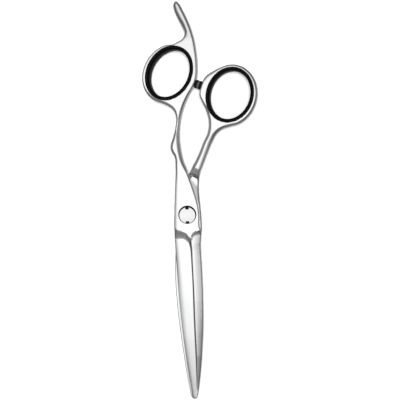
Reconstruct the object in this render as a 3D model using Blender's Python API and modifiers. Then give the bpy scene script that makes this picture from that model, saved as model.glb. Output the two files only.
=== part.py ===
"""Hair cutting shears with offset handles, closed, lying screw side up.

Millimetres in the constants, metres in Blender. The origin is on the pivot's axis in the plane
that the shears rest on. The tips point to -Y, the finger ring is at -X and the thumb ring at +X.
"""

import math

import bmesh
import bpy
from mathutils import Matrix, Vector

MM = 0.001

# Heights over the rest plane, mm
CUT_PLANE = 3.6
HALF_GAP = 0.15
FORGING_LOW = 0.9
FORGING_HIGH = 6.3
INSERT_LOW = 0.0
INSERT_HIGH = 7.2
NEAR_FLOOR = CUT_PLANE + HALF_GAP
FAR_ROOF = CUT_PLANE - HALF_GAP

# Blades, mm
BLADE_ROOT_Y = -6.0
TIP_Y = -85.9
EDGE_LAND = 0.2
ROOT_RIDGE = 2.1
TIP_RIDGE = 0.8
ROOT_SPINE = 1.25
TIP_SPINE = 0.45

# Handles, mm
EDGE_RADIUS = 0.6
FINGER_CENTRE = (-6.1, 66.7)
FINGER_TILT = math.radians(-30)
FINGER_INSERT = (10.7, 13.3)
THUMB_CENTRE = (21.95, 55.25)
THUMB_TILT = math.radians(-20)
THUMB_INSERT = (11.1, 13.1)
LIP = 0.6
LIP_GAP = 0.3
INSERT_WALL = 1.75
INSERT_BEVEL = 0.25
BORE_BEVEL = 0.45

# The finger half's underside rises to the cutting plane at its shank: y and height, mm
UNDER_STEP = [(19.0, NEAR_FLOOR), (23.0, -1.0)]
# The thumb half's step, turned about Z: distance from the pivot and height, mm
STEP_TURN = math.radians(-35.6)
OVER_STEP = [(20.6, 8.0), (20.0, 5.6), (18.2, 4.9), (17.8, 4.0), (16.4, FAR_ROOF)]
BLADE_END = -95

# Bumper between the rings, mm
FACET_HIGH = (9.6, 62.1)
FACET_LOW = (8.05, 58.2)
STUD_RADIUS = 1.9
STUD_LENGTH = 1.5
STUD_NECK_RADIUS = 1.6
STUD_FLANGE = 0.7
STEM_RADIUS = 0.8
STEM_LENGTH = 1.3
PAD_RADIUS = 1.9
PAD_LENGTH = 1.45
PAD_BEVEL = 0.4
PAD_BASE_BEVEL = 0.2

# Pivot stack, mm
STACK_GAP = 0.1
HEAD_RADIUS = 3.9
HEAD_TOP = 6.62
HEAD_BOTTOM = 5.6
HEAD_BEVEL = 0.25
KEY_WIDTH = 1.7
KEY_DEPTH = 1.1
KEY_FLOOR = 5.9
HEAD_RECESS_RADIUS = 4.1
HEAD_RECESS_FLOOR = 4.7
WASHER_THICKNESS = 0.3
WASHER_RADIUS = 3.7
WASHER_DISH = 0.08
SCREW_SHANK_RADIUS = 1.95
SCREW_SHANK_BOTTOM = 3.0
THREAD_RADIUS = 1.6
THREAD_BOTTOM = 0.7
THREAD_BEVEL = 0.3
SHANK_BEVEL = 0.1
BUSH_INNER = 2.05
BUSH_OUTER = 2.6
BUSH_BORE = 2.7
BUSH_BOTTOM = 3.8
DISC_RADIUS = 4.6
DISC_RECESS_RADIUS = 4.7
DISC_RECESS_FLOOR = 3.0
NUT_FLANGE_RADIUS = 3.6
NUT_FLANGE_TOP = 0.8
NUT_BEVEL = 0.2
NUT_BODY_RADIUS = 2.6
NUT_BORE = 2.7
NUT_FLAT = 2.15
NUT_TOP = 2.9
NUT_THREAD_RADIUS = 1.7
NUT_THREAD_FLOOR = 0.5
LOCK_RING_OUTER = 2.1
LOCK_RING_THICKNESS = 0.45
PRESS_GAP = 0.05
OPEN_TOP = 8.0
ROUND_SEGMENTS = 32

SHARP = "sharp"

# Outlines, mm, counter-clockwise from above. SHARP marks a corner.
FINGER_RIGHT = [
    (0.9, -10.6, SHARP),
    (2.4, -8.1),
    (5.2, -6.4, SHARP),
    (5.4, -1.0),
    (5.1, 3.5),
    (4.05, 8.5),
    (2.55, 14.0),
    (0.8, 19.8),
    (-1.2, 25.5),
    (-2.2, 31.0),
    (-2.6, 37.0),
    (-2.0, 43.5),
    (-0.3, 50.0),
    (2.2, 55.5),
    (4.9, 60.0),
    (6.3, 63.5),
    (6.95, 70.0),
    (6.5, 78.0),
    (5.4, 84.5),
    (3.5, 90.5),
    (1.1, 96.0),
]
FINGER_REST = [
    (-0.8, 99.5),
    (-2.0, 100.3),
    (-3.1, 99.2),
    (-3.0, 96.6),
    (-1.7, 92.9),
    (0.5, 88.2),
    (1.7, 85.0),
    (0.7, 82.5),
    (-2.0, 80.9),
]
FINGER_LEFT = [
    (-7.3, 51.3),
    (-4.9, 49.3),
    (-3.7, 46.0),
    (-4.1, 41.5),
    (-5.5, 36.7),
    (-6.9, 32.4),
    (-6.5, 29.9),
    (-5.1, 27.3),
    (-4.9, 23.0),
    (-5.3, 14.0),
    (-6.0, 4.0),
    (-6.5, -6.9, SHARP),
    (-2.4, -7.6),
]
THUMB_RIGHT = [
    (-0.9, -10.6, SHARP),
    (2.4, -7.6),
    (6.0, -8.2, SHARP),
    (6.1, -2.0),
    (5.85, 3.0),
    (5.45, 8.5),
    (5.5, 15.0),
    (6.5, 19.3),
    (8.3, 23.3),
    (10.8, 29.0),
    (13.2, 34.4),
    (15.0, 37.5),
    (17.7, 39.5),
]
THUMB_LEFT = [
    (14.0, 66.4),
    (11.8, 65.1),
    (10.4, 63.6),
    (FACET_HIGH[0], FACET_HIGH[1], SHARP),
    (FACET_LOW[0], FACET_LOW[1], SHARP),
    (7.7, 55.6),
    (8.9, 52.2),
    (10.6, 48.0),
    (11.5, 43.0),
    (10.8, 38.2),
    (8.75, 34.0),
    (6.05, 28.0),
    (3.35, 23.2),
    (1.3, 19.9),
    (-2.2, 13.5),
    (-4.6, 6.5),
    (-5.4, 0.0),
    (-5.9, -6.9, SHARP),
    (-3.0, -7.9),
]

# Blade stations, mm: distance along -Y, then the edge, ridge and spine across the blade.
FINGER_BLADE = [
    (BLADE_ROOT_Y, -6.4, 1.0, 5.1),
    (-13.0, -6.5, 1.2, 5.4),
    (-20.0, -6.4, 1.4, 5.6),
    (-30.0, -6.05, 1.5, 5.75),
    (-40.0, -5.6, 1.65, 5.7),
    (-50.0, -4.9, 1.7, 5.45),
    (-60.0, -4.1, 1.7, 4.75),
    (-70.0, -2.9, 1.7, 3.75),
    (-78.0, -1.8, 1.4, 2.65),
    (-83.0, -1.15, 1.0, 1.85),
    (-85.2, -0.75, 0.5, 1.2),
    (TIP_Y, -0.2, 0.2, 0.5),
]
THUMB_BLADE = [
    (BLADE_ROOT_Y, 5.3, -1.0, -5.8),
    (-13.0, 5.2, -1.4, -6.3),
    (-20.0, 5.1, -1.4, -6.8),
    (-30.0, 4.9, -1.5, -7.15),
    (-40.0, 4.6, -1.6, -6.85),
    (-50.0, 4.1, -1.7, -6.15),
    (-60.0, 3.4, -1.7, -5.15),
    (-70.0, 2.4, -1.5, -4.0),
    (-78.0, 1.4, -1.3, -3.0),
    (-83.0, 0.8, -1.0, -2.2),
    (-85.2, 0.4, -0.5, -1.45),
    (TIP_Y, 0.1, -0.3, -0.8),
]


def remove_everything():
    for item in list(bpy.data.objects):
        bpy.data.objects.remove(item, do_unlink=True)


def new_collection(name):
    group = bpy.data.collections.new(name)
    bpy.context.scene.collection.children.link(group)
    return group


def finish_material(name, colour, metallic, roughness):
    """A Principled material for one sub-part."""
    made = bpy.data.materials.new(name)
    made.use_nodes = True
    shader = made.node_tree.nodes["Principled BSDF"]
    shader.inputs["Base Color"].default_value = (*colour, 1.0)
    shader.inputs["Metallic"].default_value = metallic
    shader.inputs["Roughness"].default_value = roughness
    made.diffuse_color = (*colour, 1.0)
    return made


def add_mesh(name, mesh, group):
    made = bpy.data.objects.new(name, mesh)
    group.objects.link(made)
    return made


def mesh_from(name, build):
    """A new mesh that build(bm) fills."""
    mesh = bpy.data.meshes.new(name)
    bm = bmesh.new()
    build(bm)
    bmesh.ops.recalc_face_normals(bm, faces=bm.faces)
    bm.to_mesh(mesh)
    bm.free()
    return mesh


def ellipse(centre, radii, tilt, start, stop, count):
    """Points on a tilted ellipse, from angle start to stop in degrees, counter-clockwise."""
    across, along = radii
    points = []
    for step in range(count):
        angle = math.radians(start + (stop - start) * step / (count - 1))
        x = across * math.cos(angle)
        y = along * math.sin(angle)
        points.append(
            (
                centre[0] + x * math.cos(tilt) - y * math.sin(tilt),
                centre[1] + x * math.sin(tilt) + y * math.cos(tilt),
            )
        )
    return points


def whole_ellipse(centre, radii, tilt, count):
    """A closed ellipse, clockwise, as a hole's outline runs."""
    return ellipse(centre, radii, tilt, 360, 0, count + 1)[:-1]


def add_outline(curve, points):
    """A cyclic Bezier spline through points in mm, with corners at the SHARP ones."""
    spline = curve.splines.new("BEZIER")
    spline.bezier_points.add(len(points) - 1)
    for control, point in zip(spline.bezier_points, points):
        control.co = (point[0] * MM, point[1] * MM, 0)
        handle = "VECTOR" if SHARP in point else "AUTO"
        control.handle_left_type = handle
        control.handle_right_type = handle
    spline.use_cyclic_u = True


def mesh_of_curve(made, group):
    """Turns a curve object into a mesh object with its loose caps welded on."""
    bpy.context.view_layer.update()
    graph = bpy.context.evaluated_depsgraph_get()
    mesh = bpy.data.meshes.new_from_object(made.evaluated_get(graph))
    bm = bmesh.new()
    bm.from_mesh(mesh)
    bmesh.ops.remove_doubles(bm, verts=bm.verts, dist=1e-6)
    bmesh.ops.recalc_face_normals(bm, faces=bm.faces)
    bm.to_mesh(mesh)
    bm.free()
    mesh.materials.clear()
    solid = add_mesh(made.name, mesh, group)
    solid.matrix_world = made.matrix_world
    name = made.name
    bpy.data.objects.remove(made, do_unlink=True)
    solid.name = name
    return solid


def flat_forging(name, outlines, group):
    """A flat blank with rounded edges between FORGING_LOW and FORGING_HIGH."""
    curve = bpy.data.curves.new(name, "CURVE")
    curve.dimensions = "2D"
    curve.fill_mode = "BOTH"
    curve.resolution_u = 4
    for points in outlines:
        add_outline(curve, points)
    half = (FORGING_HIGH - FORGING_LOW) / 2
    curve.bevel_depth = EDGE_RADIUS * MM
    curve.bevel_resolution = 1
    curve.offset = -EDGE_RADIUS * MM
    curve.extrude = (half - EDGE_RADIUS) * MM
    made = bpy.data.objects.new(name, curve)
    made.location.z = (FORGING_LOW + half) * MM
    group.objects.link(made)
    return mesh_of_curve(made, group)


def blade(name, stations, base, side, group):
    """A blade lofted through its stations. side is 1 for bevels that face up, -1 for down."""

    def section(y, edge, ridge, spine):
        along = (BLADE_ROOT_Y - y) / (BLADE_ROOT_Y - TIP_Y)
        ridge_rise = ROOT_RIDGE + (TIP_RIDGE - ROOT_RIDGE) * along
        spine_rise = ROOT_SPINE + (TIP_SPINE - ROOT_SPINE) * along
        corners = ((edge, 0), (spine, 0), (spine, spine_rise), (ridge, ridge_rise), (edge, EDGE_LAND))
        return [Vector((x, y, base + side * rise)) * MM for x, rise in corners]

    def build(bm):
        rings = [[bm.verts.new(p) for p in section(*station)] for station in stations]
        for first, second in zip(rings, rings[1:]):
            for index in range(len(first)):
                following = (index + 1) % len(first)
                bm.faces.new((first[index], first[following], second[following], second[index]))
        bm.faces.new(rings[0])
        bm.faces.new(rings[-1])

    return add_mesh(name, mesh_from(name, build), group)


def prism(name, profile, axis, low, high, group):
    """A closed outline in mm extruded along an axis: 'x' takes (y, z) points, 'z' takes (x, y)."""

    def place(a, b, level):
        return Vector((level, a, b)) * MM if axis == "x" else Vector((a, b, level)) * MM

    def build(bm):
        bottom = bm.faces.new([bm.verts.new(place(a, b, low)) for a, b in profile])
        grown = bmesh.ops.extrude_face_region(bm, geom=[bottom])
        moved = [item for item in grown["geom"] if isinstance(item, bmesh.types.BMVert)]
        bmesh.ops.translate(bm, verts=moved, vec=place(0, 0, high - low))

    return add_mesh(name, mesh_from(name, build), group)


def turned(name, profile, group):
    """A solid of revolution about Z. The profile runs down its outer side, radius and height in mm."""
    mesh = bpy.data.meshes.new(name)
    points = [(radius * MM, 0, height * MM) for radius, height in profile]
    closed = profile[0][0] > 0
    edges = [(i, i + 1) for i in range(len(points) - 1)]
    if closed:
        edges.append((len(points) - 1, 0))
    mesh.from_pydata(points, edges, [])
    made = add_mesh(name, mesh, group)
    screw = made.modifiers.new("turn", "SCREW")
    screw.axis = "Z"
    screw.steps = ROUND_SEGMENTS
    screw.render_steps = ROUND_SEGMENTS
    screw.use_merge_vertices = True
    screw.merge_threshold = 0.00001
    return made


def cylinder(name, radius, low, high, group):
    return turned(name, [(0, high), (radius, high), (radius, low), (0, low)], group)


def apply_modifiers(made):
    bpy.context.view_layer.update()
    graph = bpy.context.evaluated_depsgraph_get()
    mesh = bpy.data.meshes.new_from_object(made.evaluated_get(graph))
    made.modifiers.clear()
    made.data = mesh


def combine(target, other, operation):
    """A Boolean on target. The operand stays as a hidden helper."""
    modifier = target.modifiers.new(other.name, "BOOLEAN")
    modifier.operation = operation
    modifier.object = other
    modifier.solver = "EXACT"
    other.hide_render = True
    other.display_type = "WIRE"


def smooth(made, material):
    made.data.materials.clear()
    made.data.materials.append(material)
    made.data.shade_smooth()
    made.data.set_sharp_from_angle(angle=math.radians(35))


def make_finger_half(parts, cutters, steel):
    ring = ellipse((-6.2, 66.4), (12.15, 14.3), FINGER_TILT, 112, 285, 11)
    hole = [size - LIP for size in FINGER_INSERT]
    outline = FINGER_RIGHT + FINGER_REST + ring + FINGER_LEFT
    half = flat_forging(
        "finger_half", [outline, whole_ellipse(FINGER_CENTRE, hole, FINGER_TILT, 16)], parts
    )
    under = [(BLADE_END, NEAR_FLOOR), *UNDER_STEP, (BLADE_END, UNDER_STEP[-1][1])]
    combine(half, prism("under_clearance", under, "x", -15, 15, cutters), "DIFFERENCE")
    combine(half, blade("finger_blade", FINGER_BLADE, NEAR_FLOOR, 1, cutters), "UNION")
    combine(half, cylinder("bush_bore", BUSH_BORE, 2.0, OPEN_TOP, cutters), "DIFFERENCE")
    recess = cylinder("head_recess", HEAD_RECESS_RADIUS, HEAD_RECESS_FLOOR, OPEN_TOP, cutters)
    combine(half, recess, "DIFFERENCE")
    apply_modifiers(half)
    smooth(half, steel)


def make_thumb_half(parts, cutters, steel):
    ring = ellipse((21.9, 54.9), (12.6, 14.6), THUMB_TILT, -70, 130, 11)
    hole = [size - LIP for size in THUMB_INSERT]
    half = flat_forging(
        "thumb_half",
        [THUMB_RIGHT + ring + THUMB_LEFT, whole_ellipse(THUMB_CENTRE, hole, THUMB_TILT, 16)],
        parts,
    )
    over = [(BLADE_END, FAR_ROOF), (BLADE_END, OVER_STEP[0][1]), *OVER_STEP]
    clearance = prism("over_clearance", over, "x", -70, 70, cutters)
    clearance.rotation_euler.z = STEP_TURN
    combine(half, clearance, "DIFFERENCE")
    combine(half, blade("thumb_blade", THUMB_BLADE, FAR_ROOF, -1, cutters), "UNION")
    recess = cylinder("disc_recess", DISC_RECESS_RADIUS, DISC_RECESS_FLOOR, OPEN_TOP, cutters)
    combine(half, recess, "DIFFERENCE")
    combine(half, keyed_post("nut_bore", NUT_BORE, NUT_FLAT + STACK_GAP, 0.0, 4.0, cutters), "DIFFERENCE")
    stem = cylinder("stem_hole", STEM_RADIUS + STACK_GAP, -STEM_LENGTH - 2 * STACK_GAP, 1.0, cutters)
    stem.matrix_world = bumper_frame()
    combine(half, stem, "DIFFERENCE")
    apply_modifiers(half)
    smooth(half, steel)


def keyed_post(name, radius, flat, low, high, group):
    """A round post with two flats across X at the given distance from the axis."""
    points = []
    for step in range(ROUND_SEGMENTS):
        angle = 2 * math.pi * step / ROUND_SEGMENTS
        x = max(-flat, min(flat, radius * math.cos(angle)))
        points.append((x, radius * math.sin(angle)))
    return prism(name, points, "z", low, high, group)


def bumper_frame():
    """The bumper's frame: origin in the facet's middle, +Z out of the facet to the finger ring."""
    high = Vector((*FACET_HIGH, CUT_PLANE))
    low = Vector((*FACET_LOW, CUT_PLANE))
    along = (high - low).normalized()
    out = Vector((-along.y, along.x, 0))
    place = Matrix((along, out.cross(along), out)).transposed().to_4x4()
    place.translation = (high + low) / 2 * MM
    return place


def make_bumper(parts, stud_material, pad_material):
    stud = turned(
        "bumper_stud",
        [
            (0, STUD_LENGTH),
            (STUD_NECK_RADIUS, STUD_LENGTH),
            (STUD_NECK_RADIUS, STUD_FLANGE + STACK_GAP),
            (STUD_RADIUS, STUD_FLANGE),
            (STUD_RADIUS, STACK_GAP),
            (STEM_RADIUS, STACK_GAP),
            (STEM_RADIUS, -STEM_LENGTH),
            (0, -STEM_LENGTH),
        ],
        parts,
    )
    stud.matrix_world = bumper_frame()
    low = STUD_LENGTH + STACK_GAP
    high = low + PAD_LENGTH
    pad = turned(
        "bumper_pad",
        [
            (0, high),
            (PAD_RADIUS - PAD_BEVEL, high),
            (PAD_RADIUS, high - PAD_BEVEL),
            (PAD_RADIUS, low + PAD_BASE_BEVEL),
            (PAD_RADIUS - PAD_BASE_BEVEL, low),
            (0, low),
        ],
        parts,
    )
    pad.matrix_world = bumper_frame()
    smooth(stud, stud_material)
    smooth(pad, pad_material)


def make_ring_insert(name, centre, radii, tilt, parts, material):
    """An oval ring whose lips reach over both faces of the steel ring."""
    profile = bpy.data.curves.new(name + "_section", "CURVE")
    profile.dimensions = "2D"
    section = profile.splines.new("POLY")
    body = -LIP - LIP_GAP
    lip_low = FORGING_LOW - LIP_GAP
    lip_high = FORGING_HIGH + LIP_GAP
    corners = [
        (0.0, INSERT_HIGH - INSERT_BEVEL),
        (0.0, lip_high),
        (body, lip_high),
        (body, lip_low),
        (0.0, lip_low),
        (0.0, INSERT_LOW + INSERT_BEVEL),
        (-INSERT_BEVEL, INSERT_LOW),
        (-INSERT_WALL + BORE_BEVEL, INSERT_LOW),
        (-INSERT_WALL, INSERT_LOW + BORE_BEVEL),
        (-INSERT_WALL, INSERT_HIGH - BORE_BEVEL),
        (-INSERT_WALL + BORE_BEVEL, INSERT_HIGH),
        (-INSERT_BEVEL, INSERT_HIGH),
    ]
    section.points.add(len(corners) - 1)
    for point, (across, height) in zip(section.points, corners):
        point.co = (-across * MM, height * MM, 0, 1)
    section.use_cyclic_u = True
    profile_object = bpy.data.objects.new(name + "_section", profile)
    bpy.context.scene.collection.objects.link(profile_object)

    path = bpy.data.curves.new(name, "CURVE")
    path.dimensions = "2D"
    path.fill_mode = "NONE"
    path.resolution_u = 3
    add_outline(path, ellipse((0, 0), radii, 0, 0, 360, 17)[:-1])
    path.bevel_mode = "OBJECT"
    path.bevel_object = profile_object
    made = bpy.data.objects.new(name, path)
    made.location = Vector((*centre, 0)) * MM
    made.rotation_euler.z = tilt
    parts.objects.link(made)
    solid = mesh_of_curve(made, parts)
    bpy.data.objects.remove(profile_object, do_unlink=True)
    smooth(solid, material)


def make_pivot_screw(parts, cutters, material):
    screw = turned(
        "pivot_screw",
        [
            (0, HEAD_TOP),
            (HEAD_RADIUS - HEAD_BEVEL, HEAD_TOP),
            (HEAD_RADIUS, HEAD_TOP - HEAD_BEVEL),
            (HEAD_RADIUS, HEAD_BOTTOM),
            (SCREW_SHANK_RADIUS, HEAD_BOTTOM),
            (SCREW_SHANK_RADIUS, SCREW_SHANK_BOTTOM),
            (THREAD_RADIUS, SCREW_SHANK_BOTTOM - SHANK_BEVEL),
            (THREAD_RADIUS, THREAD_BOTTOM + THREAD_BEVEL),
            (THREAD_RADIUS - THREAD_BEVEL, THREAD_BOTTOM),
            (0, THREAD_BOTTOM),
        ],
        parts,
    )
    for sign, end in ((1, "far"), (-1, "near")):
        inner = sign * (HEAD_RADIUS - KEY_DEPTH)
        outer = sign * (HEAD_RADIUS + 1)
        notch = [
            (-KEY_WIDTH / 2, min(inner, outer)),
            (KEY_WIDTH / 2, min(inner, outer)),
            (KEY_WIDTH / 2, max(inner, outer)),
            (-KEY_WIDTH / 2, max(inner, outer)),
        ]
        combine(screw, prism("key_notch_" + end, notch, "z", KEY_FLOOR, OPEN_TOP, cutters), "DIFFERENCE")
    apply_modifiers(screw)
    smooth(screw, material)


def make_ring(name, inner, outer, low, high, parts, material):
    made = turned(name, [(inner, high), (outer, high), (outer, low), (inner, low)], parts)
    smooth(made, material)


def make_spring_washer(parts, material):
    """A dished washer: its rim sits a little lower than its bore. Returns its lowest height, mm."""
    high = HEAD_BOTTOM - STACK_GAP
    low = high - WASHER_THICKNESS
    bore = SCREW_SHANK_RADIUS + STACK_GAP
    made = turned(
        "spring_washer",
        [(bore, high), (WASHER_RADIUS, high - WASHER_DISH), (WASHER_RADIUS, low - WASHER_DISH), (bore, low)],
        parts,
    )
    smooth(made, material)
    return low - WASHER_DISH


def make_nut_insert(parts, cutters, material):
    nut = turned(
        "nut_insert",
        [
            (0, NUT_FLANGE_TOP),
            (NUT_FLANGE_RADIUS, NUT_FLANGE_TOP),
            (NUT_FLANGE_RADIUS, NUT_BEVEL),
            (NUT_FLANGE_RADIUS - NUT_BEVEL, 0),
            (0, 0),
        ],
        parts,
    )
    body = keyed_post("nut_body", NUT_BODY_RADIUS, NUT_FLAT, NUT_THREAD_FLOOR, NUT_TOP, cutters)
    combine(nut, body, "UNION")
    combine(nut, cylinder("nut_thread", NUT_THREAD_RADIUS, NUT_THREAD_FLOOR, 4.0, cutters), "DIFFERENCE")
    seat_floor = NUT_TOP - LOCK_RING_THICKNESS - STACK_GAP
    seat = cylinder("lock_ring_seat", LOCK_RING_OUTER, seat_floor, 4.0, cutters)
    combine(nut, seat, "DIFFERENCE")
    apply_modifiers(nut)
    smooth(nut, material)


def main():
    remove_everything()
    parts = new_collection("hair_cutting_shears")
    cutters = new_collection("cutters")
    steel = finish_material("polished_steel", (0.83, 0.83, 0.84), 1.0, 0.16)
    black_plastic = finish_material("black_plastic", (0.015, 0.015, 0.016), 0.0, 0.38)
    rubber = finish_material("black_rubber", (0.02, 0.02, 0.02), 0.0, 0.6)
    stud_finish = finish_material("stud_plastic", (0.07, 0.07, 0.075), 0.0, 0.35)
    screw_steel = finish_material("screw_steel", (0.78, 0.78, 0.79), 1.0, 0.25)
    white_plastic = finish_material("glide_plastic", (0.85, 0.85, 0.82), 0.0, 0.45)
    brass = finish_material("nut_brass", (0.72, 0.56, 0.3), 1.0, 0.3)

    make_finger_half(parts, cutters, steel)
    make_thumb_half(parts, cutters, steel)
    for name, centre, radii, tilt in (
        ("finger_ring_insert", FINGER_CENTRE, FINGER_INSERT, FINGER_TILT),
        ("thumb_ring_insert", THUMB_CENTRE, THUMB_INSERT, THUMB_TILT),
    ):
        make_ring_insert(name, centre, radii, tilt, parts, black_plastic)
    make_bumper(parts, stud_finish, rubber)
    make_pivot_screw(parts, cutters, screw_steel)
    glide_high = make_spring_washer(parts, screw_steel) - STACK_GAP
    make_nut_insert(parts, cutters, brass)
    screw_bore = SCREW_SHANK_RADIUS + STACK_GAP
    lock_high = NUT_TOP - PRESS_GAP
    for name, inner, outer, low, high in (
        ("head_glide_washer", screw_bore, WASHER_RADIUS, HEAD_RECESS_FLOOR + STACK_GAP, glide_high),
        ("pivot_bush", BUSH_INNER, BUSH_OUTER, BUSH_BOTTOM, HEAD_RECESS_FLOOR - PRESS_GAP),
        ("blade_glide_disc", BUSH_INNER, DISC_RADIUS, DISC_RECESS_FLOOR + STACK_GAP, NEAR_FLOOR - STACK_GAP),
        (
            "thread_lock_ring",
            THREAD_RADIUS + PRESS_GAP,
            LOCK_RING_OUTER - PRESS_GAP,
            lock_high - LOCK_RING_THICKNESS,
            lock_high,
        ),
    ):
        make_ring(name, inner, outer, low, high, parts, white_plastic)


main()
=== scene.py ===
"""Looks for the hair cutting shears: fine meshes, materials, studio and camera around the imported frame.

Lengths in the constants are millimetres. Each half is built in a frame of its own, in which its
blade's bevels face +Z, its cutting edge is at -X and its inner face looks down. The finger half's
frame is the object's frame. The thumb half's is turned half a turn about Y, in the cutting plane.
"""

import math

import bmesh
import bpy
import numpy as np
from mathutils import Matrix, Vector, kdtree
from mathutils.geometry import delaunay_2d_cdt


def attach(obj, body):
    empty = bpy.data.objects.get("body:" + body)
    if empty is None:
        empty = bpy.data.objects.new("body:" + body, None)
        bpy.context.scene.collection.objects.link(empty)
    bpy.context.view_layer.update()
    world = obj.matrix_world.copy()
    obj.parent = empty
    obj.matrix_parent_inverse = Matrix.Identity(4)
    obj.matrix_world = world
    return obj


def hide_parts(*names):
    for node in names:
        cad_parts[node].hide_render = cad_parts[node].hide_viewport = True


MM = 0.001
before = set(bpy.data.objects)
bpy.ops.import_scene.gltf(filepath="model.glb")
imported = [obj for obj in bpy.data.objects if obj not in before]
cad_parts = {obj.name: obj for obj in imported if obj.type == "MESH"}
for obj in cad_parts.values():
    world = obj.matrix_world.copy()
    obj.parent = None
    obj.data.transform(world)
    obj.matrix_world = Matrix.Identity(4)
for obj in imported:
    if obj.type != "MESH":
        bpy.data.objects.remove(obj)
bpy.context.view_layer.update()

# Heights over the rest plane, mm
CUT_PLANE = 3.6
FLOOR = 3.75
PLATE_TOP = 6.3
HANDLE_LOW = 0.9
HANDLE_HIGH = 6.3
INSERT_HIGH = 7.2
INSERT_LOW = 0.0

# Where the finger rest begins to thin towards its end, over what length, and how that grows
REST_Y = 82
REST_LENGTH = 18
REST_POWER = 1.5

# Each half's step on its inner face: its turn from +Y, and the face's height against the distance from the pivot, mm
FINGER_STEP = (0.0, [(-99, FLOOR), (19.0, FLOOR), (21.4, HANDLE_LOW), (99, HANDLE_LOW)])
THUMB_STEP = (math.radians(-35.6), [(-99, FLOOR), (16.4, FLOOR), (17.4, 3.0), (17.9, 2.35), (20.5, HANDLE_LOW),
                                    (99, HANDLE_LOW)])
STEP_REACH = 14

# Rings, mm
FINGER_CENTRE = (-6.1, 66.7)
FINGER_TILT = math.radians(-30)
FINGER_INSERT = (10.7, 13.3)
THUMB_CENTRE = (21.95, 55.25)
THUMB_TILT = math.radians(-20)
THUMB_INSERT = (11.1, 13.1)
LIP = 0.6
LIP_GAP = 0.12
NECK_GAP = 0.3
INSERT_WALL = 1.75
INSERT_FLAT = 0.9
INSERT_ROUNDING = 0.28
INSERT_TURNS = 168
CROWN = 0.45
CROWN_POWER = 1.5
THICKER_SIDE = Vector((-1.0, 0.0, 0.0))
HOLE_EDGE = [0.3] * 25
# Each ring's outer edge: centre, radii, tilt, first and last angle in degrees, and the edge radii between those.
# The thumb ring's is in its half's own frame.
FINGER_RING = ((-6.2, 66.4), (12.15, 14.3), FINGER_TILT, 112, 285,
               (0.6, 0.6, 0.6, 0.6, 0.6, 0.6, 0.7, 0.9, 1.2, 1.4, 1.4))
THUMB_RING = ((-21.9, 54.9), (12.6, 14.6), -THUMB_TILT, 50, 250,
              (0.7, 0.7, 0.8, 0.9, 0.9, 0.9, 0.9, 0.9, 0.9, 1.0, 1.1))

# Blades, mm
TIP_Y = -85.9
RUNOUT_Y = -7.0
EDGE_LAND = 0.12
BACK_POWER = 1.7
SPINE_SLOPE = 0.7
# How far past the bevels' end at RUNOUT_Y a face is still worked out as a blade's
BLADE_REACH = 3
# The hollow in the inner face: its depth, where it starts and over what length it deepens
HOLLOW_DEPTH = 0.5
HOLLOW_START = -9
HOLLOW_RUN = 4
# The top of the cutting bevel is at CREST from CREST_Y to the pivot. The back bevel falls from BACK_START outwards.
CREST = 1.0
CREST_Y = -20
BACK_START = 1.6
LEAST_WIDTH = 0.3
# Along the blade: y, and the bevel's top over the cutting plane, the wall from there up to the ridge, that wall's
# slope and the fillet at its foot, and the back bevel's fall from the ridge to the spine, mm
BEVEL_RISE = [(-86, 0.5), (-78, 0.7), (-70, 0.85), (-58, 1.05), (-40, 1.28), (-30, 1.38), (-22, 1.36), (-16.5, 1.25),
              (-13, 1.12), (-9, 1.0)]
WALL_RISE = [(-82, 0.0), (-75, 0.45), (-66, 0.8), (-40, 0.85), (-33, 0.78), (-28, 0.75), (-22, 0.8), (-16.5, 0.9),
             (-13, 1.15), (-9, 1.2)]
WALL_SLOPE = [(-82, 0.7), (-72, 1.0), (-19, 1.0), (-14.6, 0.95), (-13.2, 0.85), (-12.6, 0.72), (-12.1, 0.8),
              (-11.7, 0.85), (-11.45, 0.77), (-11.2, 0.65), (-10.9, 0.6), (-10.6, 0.54)]
WALL_FILLET = [(-13.5, 0.05), (-12.6, 0.2), (-11.9, 0.35), (-11.45, 0.6), (-11.0, 0.9), (-10.6, 1.0)]
SPINE_FILLET = [(-13, 0.3), (-11.2, 0.4), (-10.3, 0.9), (-9.5, 1.6)]
BEVEL_POWER = [(-45, 3.0), (-28, 3.8), (-12, 5.2)]
BACK_FALL = [(-86, 0.2), (-78, 0.42), (-70, 0.72), (-58, 0.95), (-40, 0.85), (-7, 0.75)]

# Meshes: rounded edges, the spacing of points on outlines, faces and creases, and how close those may come, mm
RIM_STEPS = 8
RIM_POWER = 1.4
MOST_DROP = 0.46
SPACING = 0.5
GRID = 0.7
BLADE_STEP = 0.9
BLADE_OVERLAP = 5
BACK_ROWS_X = 1.7
BEVEL_SHARES = (0.05, 0.12, 0.2, 0.29, 0.39, 0.5, 0.62, 0.74, 0.87)
BACK_SHARES = (0.15, 0.32, 0.49, 0.66, 0.83)
CREASE_SPACING = 0.3
CREASE_REACH = 4.5
BISECTIONS = 30
LINE_CLEARANCE = 0.12
LINE_GAP = 1.2
POINT_CLEARANCE = 0.22

# Screw head and the recess that it sits in, mm
HEAD_TOP = 6.62
HEAD_DOME = 0.12
HEAD_EDGE = 3.7
# Outside HEAD_SIDE and below HEAD_SIDE_TOP the head's side is painted black as shade.
HEAD_SIDE = 3.85
HEAD_SIDE_TOP = HEAD_TOP - 0.4
DOME_TOP = HEAD_TOP - 0.02
NOTCH_WIDTH = 1.6
RECESS_RADIUS = 4.22
RECESS_FLOOR = 4.7
RECESS_BEVEL = 0.1
RECESS_OFFSET = 0.28
BUSH_BORE = 2.7
OPEN_TOP = 8.0
NOTCH_BOTTOM = ((2.75, 5.95), (4.6, 5.75))
THREAD_RADIUS = 1.6
THREAD_ROOT = 1.45
THREAD_TOP = 2.7
THREAD_PITCH = 0.6

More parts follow.
